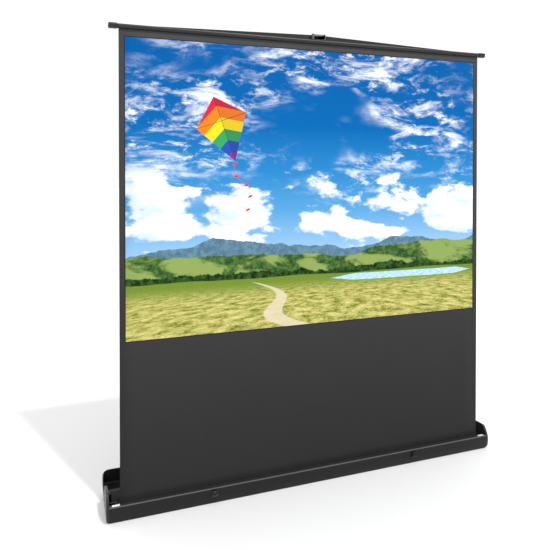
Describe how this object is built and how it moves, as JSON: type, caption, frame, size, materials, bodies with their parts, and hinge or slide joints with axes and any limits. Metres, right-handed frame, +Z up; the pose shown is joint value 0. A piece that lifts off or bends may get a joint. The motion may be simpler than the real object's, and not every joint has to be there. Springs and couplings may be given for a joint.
{
  "type": "portable projector screen",
  "caption": "Pull-up projection screen in a low black floor case with a lid, a spring roller, a folding arm frame and a black-bordered cloth under a peaked top rail.",
  "frame": {"origin": "middle of the case's flat underside, between its ends and between its front and rear faces", "axes": "+Z up along the pulled-out screen, +X along the case to the viewer's right, -Y towards the viewer"},
  "size_m": [1.346, 0.1896, 1.464],
  "materials": {
    "black_aluminium": "satin",
    "black_steel": "satin",
    "gloss_black": "gloss",
    "grey_steel": "satin",
    "grey_aluminium": "satin",
    "bright_steel": "polished",
    "rubber": "matte",
    "screen_fabric": "matte"
  },
  "bodies": {
    "case": {"case_channel": "black_aluminium", "ledge_plate_left": "bright_steel", "ledge_plate_right": "bright_steel", "end_cap_left": "gloss_black", "end_cap_right": "gloss_black", "cap_screw_left_1": "grey_steel", "cap_screw_left_2": "grey_steel", "cap_screw_right_1": "grey_steel", "cap_screw_right_2": "grey_steel", "hinge_leaf_case_left": "black_steel", "hinge_leaf_case_right": "black_steel", "hinge_pin_left": "grey_steel", "hinge_pin_right": "grey_steel", "roller_bracket_left": "grey_steel", "roller_bracket_right": "grey_steel", "spindle_left": "bright_steel", "spindle_right": "bright_steel", "roller_spring": "grey_steel", "screen_cloth": "screen_fabric", "foot_channel": "grey_steel", "foot_pin_a": "bright_steel", "foot_pin_b": "bright_steel", "latch_plate_left": "gloss_black", "latch_plate_right": "gloss_black"},
    "roller": {"roller_tube": "grey_aluminium", "roller_plug_left": "gloss_black", "roller_plug_right": "gloss_black", "cloth_roll": "screen_fabric"},
    "lower_arm_a": {"lower_arm_a": "black_aluminium", "elbow_pin_a": "bright_steel"},
    "lower_arm_b": {"lower_arm_b": "black_aluminium", "elbow_pin_b": "bright_steel"},
    "upper_arm_a": {"upper_arm_a": "black_aluminium"},
    "upper_arm_b": {"upper_arm_b": "black_aluminium"},
    "rail": {"top_rail": "black_aluminium", "rail_cap_left": "gloss_black", "rail_cap_right": "gloss_black", "rail_stiffener": "black_aluminium", "pull_handle": "gloss_black", "handle_bar": "bright_steel", "head_channel": "black_aluminium", "head_pin_a": "bright_steel", "head_pin_b": "bright_steel"},
    "lid": {"lid_shell": "black_aluminium", "lid_end_left": "gloss_black", "lid_end_right": "gloss_black", "hinge_leaf_lid_left": "black_steel", "hinge_leaf_lid_right": "black_steel", "lid_strike_left": "grey_steel", "lid_strike_right": "grey_steel", "strap_post_left": "gloss_black", "strap_post_right": "gloss_black", "carry_strap": "rubber"},
    "latch_left": {"latch_lever_left": "gloss_black", "latch_loop_left": "gloss_black"},
    "latch_right": {"latch_lever_right": "gloss_black", "latch_loop_right": "gloss_black"}
  },
  "joints": [
    {"name": "frame_fold", "type": "hinge", "parent": "case", "child": "lower_arm_a", "pos_m": [0.07, 0.016, 0.022], "axis": [0, -1, 0], "range_deg": [0, 78], "deforming": ["screen_cloth"]},
    {"name": "lower_arm_b_fold", "type": "hinge", "parent": "case", "child": "lower_arm_b", "pos_m": [-0.07, 0.0325, 0.022], "axis": [0, 1, 0], "range_deg": [0, 79]},
    {"name": "elbow_a_fold", "type": "hinge", "parent": "lower_arm_a", "child": "upper_arm_a", "pos_m": [-0.06103, 0.01875, 0.729], "axis": [0, 1, 0], "range_deg": [0, 158]},
    {"name": "elbow_b_fold", "type": "hinge", "parent": "lower_arm_b", "child": "upper_arm_b", "pos_m": [0.06103, 0.02975, 0.729], "axis": [0, -1, 0], "range_deg": [0, 158]},
    {"name": "rail_level", "type": "hinge", "parent": "upper_arm_a", "child": "rail", "pos_m": [0.07, 0.0215, 1.436], "axis": [0, -1, 0], "range_deg": [0, 79]},
    {"name": "roller_spin", "type": "hinge", "parent": "case", "child": "roller", "pos_m": [0, -0.0063, 0.024], "axis": [1, 0, 0], "range_deg": [0, 4950]},
    {"name": "lid_hinge", "type": "hinge", "parent": "case", "child": "lid", "pos_m": [0, 0.0453, 0.056], "axis": [1, 0, 0], "range_deg": [0, 78]},
    {"name": "latch_left_hinge", "type": "hinge", "parent": "case", "child": "latch_left", "pos_m": [-0.355, -0.0472, 0.0285], "axis": [1, 0, 0], "range_deg": [0, 100]},
    {"name": "latch_right_hinge", "type": "hinge", "parent": "case", "child": "latch_right", "pos_m": [0.355, -0.0472, 0.0285], "axis": [1, 0, 0], "range_deg": [0, 100]}
  ],
  "couplings": [
    {"joint": "lower_arm_b_fold", "follows": "frame_fold", "ratio": 1},
    {"joint": "elbow_a_fold", "follows": "frame_fold", "ratio": 2},
    {"joint": "elbow_b_fold", "follows": "frame_fold", "ratio": 2},
    {"joint": "rail_level", "follows": "frame_fold", "ratio": 1},
    {"joint": "roller_spin", "follows": "frame_fold", "ratio": 63.2}
  ]
}
